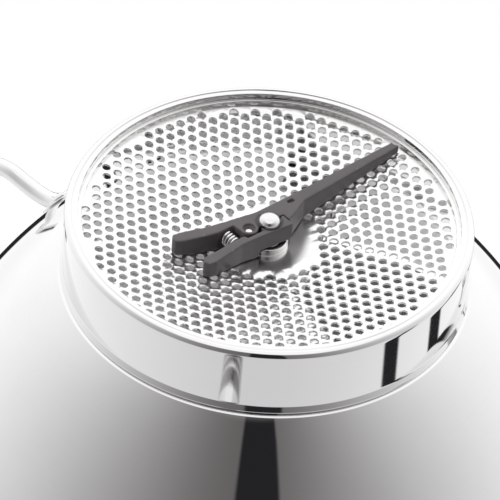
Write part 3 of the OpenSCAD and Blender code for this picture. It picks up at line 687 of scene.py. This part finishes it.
# ---- blade ----

HUB_LOW = 14.2
hub_turned = rounded([(4.0, HUB_LOW), (8.2, HUB_LOW), (8.2, HUB_LOW + 2), (7.0, HUB_LOW + 2),
                      (7.0, hub_top), (4.0, hub_top)],
                     [0.1, 0.4, 0.4, 0.5, 0.6, 0.2], 4)
lathe("blade_hub_turned", hub_turned, "crank", "bright_steel", "blade_hub", steps=96)
bm = bmesh.new()
pin = math.radians(CRANK_TURN - 55)
for sign in (0, math.pi):
    axis = Matrix.Translation((0, 0, (hub_top - 5) * MM)) @ Matrix.Rotation(pin + sign, 4,
                                                                            "Z") @ Matrix.Rotation(
        math.pi / 2, 4, "Y")
    add_lathe(bm, rounded([(0, 4.2), (1.25, 4.2), (1.25, 7.7), (0, 7.7)], [0, 0, 0.4, 0], 4, False), 32,
              False, axis)
piece("blade_pin_turned", to_mesh("blade_pin_turned", bm, 40), "crank", "bright_steel", "blade_pin")

BLADE_R, BLADE_GAP, BLADE_RISE, BLADE_TURN, BLADE_T = 58.0, 0.5, 26.0, 205.0, 1.2
HUB_R = 7.0
eye_lift = max(0.0, HUB_LOW + 2.3 - EYE_Z - DISC_T - BLADE_GAP)


def blade_low(r, t):
    flat_low = min(EYE_Z, EYE_Z + (9 - r) * SLOPE)
    lift = eye_lift * (14 - r) / 6 * (1 - t) if r < 14 else 0.0
    return flat_low + DISC_T + BLADE_GAP + (EYE_Z - flat_low + BLADE_RISE) * t + lift


def make_blade():
    across, steps = 36, 150
    bm = bmesh.new()
    grid = []
    for i in range(steps + 1):
        t = i / steps
        a = math.radians(CRANK_TURN + 30 + BLADE_TURN * t)
        row = []
        for k in range(across + 1):
            q = k / across
            r0 = HUB_R - 0.3 + (BLADE_R - HUB_R + 0.3) * q
            r = r0 - max(0.0, r0 - HUB_R) * 0.18 * t * t
            row.append((r * math.cos(a), r * math.sin(a), blade_low(r0, t)))
        grid.append(row)
    layers = []
    for lift in (0.0, BLADE_T):
        layers.append([[bm.verts.new(Vector((x, y, z + lift)) * MM) for x, y, z in row] for row in grid])
    low, high = layers
    for i in range(steps):
        for k in range(across):
            bm.faces.new((low[i][k], low[i][k + 1], low[i + 1][k + 1], low[i + 1][k]))
            bm.faces.new((high[i][k], high[i + 1][k], high[i + 1][k + 1], high[i][k + 1]))
    rim = [(i, across) for i in range(steps + 1)] + [(steps, k) for k in range(across - 1, -1, -1)] + \
          [(i, 0) for i in range(steps - 1, -1, -1)] + [(0, k) for k in range(1, across)]
    for (i, k), (j, m) in zip(rim, rim[1:] + rim[:1]):
        bm.faces.new((low[i][k], low[j][m], high[j][m], high[i][k]))
    bmesh.ops.recalc_face_normals(bm, faces=bm.faces)
    edges = [e for e in bm.edges if len(e.link_faces) == 2 and e.calc_face_angle(0) > math.radians(50)]
    bmesh.ops.bevel(bm, geom=edges, offset=0.35 * MM, segments=3, profile=0.5, affect="EDGES",
                    clamp_overlap=True)
    piece("blade_sheet", to_mesh("blade_sheet", bm, 45), "crank", "satin_steel", "blade")


make_blade()

# ---- crank and knob ----

CRANK_Z, CRANK_T, REACH = top - 8, 3.0, 88.0
arm_turn = Matrix.Rotation(math.radians(CRANK_TURN), 4, "Z")
hub_c = rounded([(4.0, CRANK_Z - 6), (7, CRANK_Z - 6), (8, CRANK_Z - 5), (8, CRANK_Z), (6.5, CRANK_Z),
                 (6.5, CRANK_Z + CRANK_T),
                 (9, CRANK_Z + CRANK_T), (9, top - 1), (7.5, top + 1), (0, top + 1)],
                [0, 0.4, 0.6, 0.2, 0, 0, 0.3, 0.8, 1.2, 0], 4, False)
lathe("crank_hub_turned", hub_c, "crank", "bright_steel", "crank_hub", steps=96, closed=False)


def plate(name, plan, z0, z1, body, slot, *stands_for, bevel=0.4, turn=Matrix.Identity(4)):
    """Flat plate with rounded edges from a plan."""
    bm = bmesh.new()
    face = bm.faces.new([bm.verts.new(turn @ (Vector((u, v, z0)) * MM)) for u, v in plan])
    top_part = bmesh.ops.extrude_face_region(bm, geom=[face])
    for v in (g for g in top_part["geom"] if isinstance(g, bmesh.types.BMVert)):
        v.co.z += (z1 - z0) * MM
    bmesh.ops.recalc_face_normals(bm, faces=bm.faces)
    edges = [e for e in bm.edges if len(e.link_faces) == 2 and e.calc_face_angle(0) > math.radians(60)
             and abs(e.verts[0].co.z - e.verts[1].co.z) < 1e-7]
    bmesh.ops.bevel(bm, geom=edges, offset=bevel * MM, segments=3, profile=0.5, affect="EDGES",
                    clamp_overlap=True)
    return piece(name, to_mesh(name, bm, 40), body, slot, *stands_for)


arm_plan = [(11 * math.cos(t), 11 * math.sin(t))
            for t in np.linspace(math.radians(92), math.radians(268), 40)]
arm_plan += [(REACH + 7.5 * math.cos(t), 7.5 * math.sin(t))
             for t in np.linspace(math.radians(-88), math.radians(88), 32)]
plate("crank_arm_plate", arm_plan, CRANK_Z, CRANK_Z + CRANK_T, "crank", "bright_steel", "crank_arm",
      bevel=0.7, turn=arm_turn)

knob_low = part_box("knob")[0]
on_knob = Matrix.Translation((knob_mid.x, knob_mid.y, 0))
pin_top = CRANK_Z + CRANK_T + 0.6 + 50 - 5
pin_profile = rounded([(0, CRANK_Z - 2), (3.6, CRANK_Z - 2), (5, CRANK_Z - 0.8), (5, CRANK_Z), (3, CRANK_Z),
                       (3, pin_top),
                       (4.6, pin_top), (4.6, pin_top + 1.2), (3, pin_top + 2), (0, pin_top + 2)],
                      [0, 0.8, 0.6, 0.1, 0, 0, 0.3, 0.4, 0.4, 0], 3, False)
lathe("knob_rivet", pin_profile, "crank", "bright_steel", "knob_pin", steps=64, closed=False, place=on_knob)
wz = CRANK_Z + CRANK_T
lathe("knob_washer_ring", rounded([(3.0, wz), (7, wz), (7, wz + 0.6), (3.0, wz + 0.6)], 0.18, 2), "crank",
      "bright_steel",
      "knob_washer", steps=64, place=on_knob)
KH, KR, kz = 50.0, 13.5, knob_low.z / MM
swell = [(8.4 + (KR - 8.4) * math.sin(math.radians(140 * t)), 2.4 + (KH - 8) * t)
         for t in np.linspace(0.06, 0.93, 40)]
knob_profile = [(3.05, 0), *rounded([(3.05, 0), (7.4, 0), (8.2, 0.8), (8.2, 2.2), (8.3, 2.9), (swell[0])],
                                    [0, 0.4, 0.4, 0.5, 0.6, 0], 3, False)[1:-1], *swell,
                *rounded([swell[-1], (KR - 2.6, KH - 4.2), (KR - 3.4, KH - 3.0), (KR - 5.6, KH - 1),
                          (KR - 6.5, KH - 0.62),
                          (5.4, KH - 0.62), (5.4, KH - 2)], [0, 1.5, 1.5, 0.8, 0.3, 0.3, 0], 4, False)[1:]]
lathe("knob_body", [(r, h + kz) for r, h in knob_profile], "knob", "knob_plastic", "knob", steps=96,
      closed=False,
      place=on_knob)
cap_profile = rounded([(5.3, -1.6), (5.3, -0.62), (KR - 6.6, -0.58), (KR - 7, 0.35), (KR - 10, 0.95),
                       (0, 1.2)],
                      [0, 0, 0.3, 0.5, 1.5, 0], 4, False)
lathe("knob_cap_disc", [(r, h + kz + KH) for r, h in cap_profile], "knob", "knob_plastic", "knob_cap",
      steps=96,
      closed=False, place=on_knob)

# ---- bridge ----

for n in ("bridge_bar", "bridge_bracket_front", "bridge_bracket_back"):
    soften(n, 0.5)

# ---- scraper clip ----

for n in ("scraper_lever", "release_lever"):
    moulded(n, 0.3, 8)
for n in ("pivot_pin", "spring_seat", "release_seat"):
    moulded(n, 0.15, 4)
clip_turn = Matrix.Rotation(math.radians(CLIP_TURN), 3, "Z")
SPRING = Vector((-13.6, 0, 6.4))
clip_coil = [clip_turn @ Vector((SPRING.x + p.x, -5.2 + 0.45 + p.z, SPRING.z - p.y))
             for p in coil(2.1, 0, 5.0, 4, 36)]
tube("clip_coil", clip_coil, 0.45, "crank", "spring_steel", "clip_spring", sides=12, cap=0.15)

# ---- camera at the photograph's viewing angle: it looks up at the mill's underside ----

cam = bpy.data.objects.new("camera", bpy.data.cameras.new("camera"))
scene.collection.objects.link(cam)
cam.data.lens = 238.2
cam.data.sensor_width = 36.0
cam.data.clip_start, cam.data.clip_end = 0.05, 30.0
cam.matrix_world = Matrix(((-0.96927, 0.20543, -0.13535, -0.13974), (0.23693, 0.63134, -0.73844, -0.79247),
                           (-0.06624, -0.74781, -0.66060, -0.69212), (0, 0, 0, 1)))
scene.camera = cam

# ---- floor, seen from above only, and the grey card of painted shade behind the holes ----


def one_sided(name, colour):
    """A plain material that shows on a face's front only."""
    made, graph, shader, _ = material(name)
    shader.inputs["Base Color"].default_value = (*colour, 1)
    shader.inputs["Roughness"].default_value = 0.8
    see_through = graph.put("ShaderNodeBsdfTransparent").outputs[0]
    from_behind = graph.put("ShaderNodeNewGeometry").outputs["Backfacing"]
    both = graph.put("ShaderNodeMixShader", {0: from_behind, 1: shader.outputs[0], 2: see_through})
    graph.feed(both.outputs[0], made.node_tree.nodes["Material Output"].inputs["Surface"])
    return made


def staged_sheet(name, corners, paper):
    """A flat sheet that is not part of the mill and that only the camera sees."""
    mesh = bpy.data.meshes.new(name)
    mesh.from_pydata(corners, [], [tuple(range(len(corners)))])
    mesh.materials.append(paper)
    sheet = bpy.data.objects.new(name, mesh)
    scene.collection.objects.link(sheet)
    for flag in ("visible_diffuse", "visible_glossy", "visible_transmission", "visible_shadow"):
        setattr(sheet, flag, False)


FLOOR_HALF, FLOOR_Z = 5, -0.0004
SHADE_CARD_R, SHADE_CARD_Z = 0.120, 0.112
floor_corners = [(x * FLOOR_HALF, y * FLOOR_HALF, FLOOR_Z) for x, y in ((-1, -1), (1, -1), (1, 1), (-1, 1))]
staged_sheet("floor", floor_corners, one_sided("floor_paper", (0.86, 0.86, 0.86)))

# Grey card across the mouth: a staged backdrop of painted shade that gives the disc's holes the grey of the
# bowl's shaded inside, seen only from below.
# The crank passes through it, so it is no real worktop.
shade_card_rim = [(SHADE_CARD_R * math.cos(TAU * k / 96), -SHADE_CARD_R * math.sin(TAU * k / 96), SHADE_CARD_Z) for k in range(96)]
staged_sheet("mouth_shade_card", shade_card_rim, one_sided("hole_shade_paper", (0.30, 0.30, 0.30)))

# ---- studio: a pale dome with a few dark cards, seen only in reflections ----

VIEW = Vector((0.13535, 0.73844, 0.66060)).normalized()
world = bpy.data.worlds.new("studio")
world.use_nodes = True
scene.world = world
g = Graph(world.node_tree)
back = world.node_tree.nodes["Background"]
way = g.put("ShaderNodeTexCoord").outputs["Generated"]
x, y, z = g.put("ShaderNodeSeparateXYZ", {0: way}).outputs


def patch(centre, inner, outer_angle):
    """1 within inner degrees of a direction, falling to 0 at outer_angle."""
    c = Vector(centre).normalized()
    cos = g.put("ShaderNodeVectorMath", {0: way, 1: tuple(c)}, operation="DOT_PRODUCT").outputs["Value"]
    return g.spread(cos, math.cos(math.radians(outer_angle)), math.cos(math.radians(inner)))


# turn about the vertical in degrees: 0 on the camera's side, growing towards the picture's right
side_x, side_y = VIEW.xy.normalized()
ahead = g.math("ADD", g.math("MULTIPLY", x, -side_x), g.math("MULTIPLY", y, -side_y))
right = g.math("ADD", g.math("MULTIPLY", x, -side_y), g.math("MULTIPLY", y, side_x))
turn = g.math("MULTIPLY", g.math("ARCTAN2", right, ahead), 360 / TAU)
turn_away = g.math("ABSOLUTE", turn)
BLACK = (0.02, 0.02, 0.022, 1)


def upright_card(centre, half_width, soft=2.0):
    """1 across a tall card that stands round a turn given in degrees."""
    away = g.math("ABSOLUTE", g.math("SUBTRACT", turn, centre))
    return g.spread(away, half_width + soft, half_width)


# low part: dim where the room is open towards the camera, pale at the back, with one dark card in front
low_part = g.mix(g.spread(turn_away, 0, 150), (0.15, 0.14, 0.14, 1), (1.2, 1.2, 1.2, 1))
low_part = g.mix(upright_card(5, 8), low_part, BLACK)
# middle part: an even pale wall with two dark cards on the right
mid_part = g.mix(g.spread(turn_away, 0, 180), (0.7, 0.7, 0.7, 1), (1.1, 1.1, 1.1, 1))
for card_turn in (80, 115):
    mid_part = g.mix(upright_card(card_turn, 4), mid_part, BLACK)
dome = g.mix(g.spread(z, -0.93, -0.80), (1.1, 1.1, 1.1, 1), low_part)
dome = g.mix(g.spread(z, 0.12, 0.40), dome, mid_part)
dome = g.mix(g.spread(z, 0.80, 0.95), dome, (0.5, 0.5, 0.5, 1))
# a dark ring round the far side outlines the polished edges
dark_ring = g.math("SUBTRACT", patch(VIEW, 18, 20), patch(VIEW, 1, 2), clamp=True)
dome = g.mix(dark_ring, dome, BLACK)
is_camera = g.put("ShaderNodeLightPath").outputs["Is Camera Ray"]
g.feed(g.mix(is_camera, dome, (1, 1, 1, 1)), back.inputs["Color"])
back.inputs["Strength"].default_value = 1.0


def area(name, at, to, size, power):
    light = bpy.data.lights.new(name, "AREA")
    light.size, light.energy = size, power
    ob = bpy.data.objects.new(name, light)
    scene.collection.objects.link(ob)
    ob.location = at
    ob.rotation_mode = "QUATERNION"
    ob.rotation_quaternion = (Vector(to) - Vector(at)).to_track_quat("-Z", "Y")
    ob.visible_glossy = False
    return ob


area("key_top", (-0.7, -0.5, 1.1), (0, 0, 0.05), 0.7, 9.0)
area("key_under", (0.9, -0.25, -0.9), (0, 0, 0.0), 0.35, 5.0)

scene.view_settings.view_transform = "Standard"
scene.view_settings.look = "None"
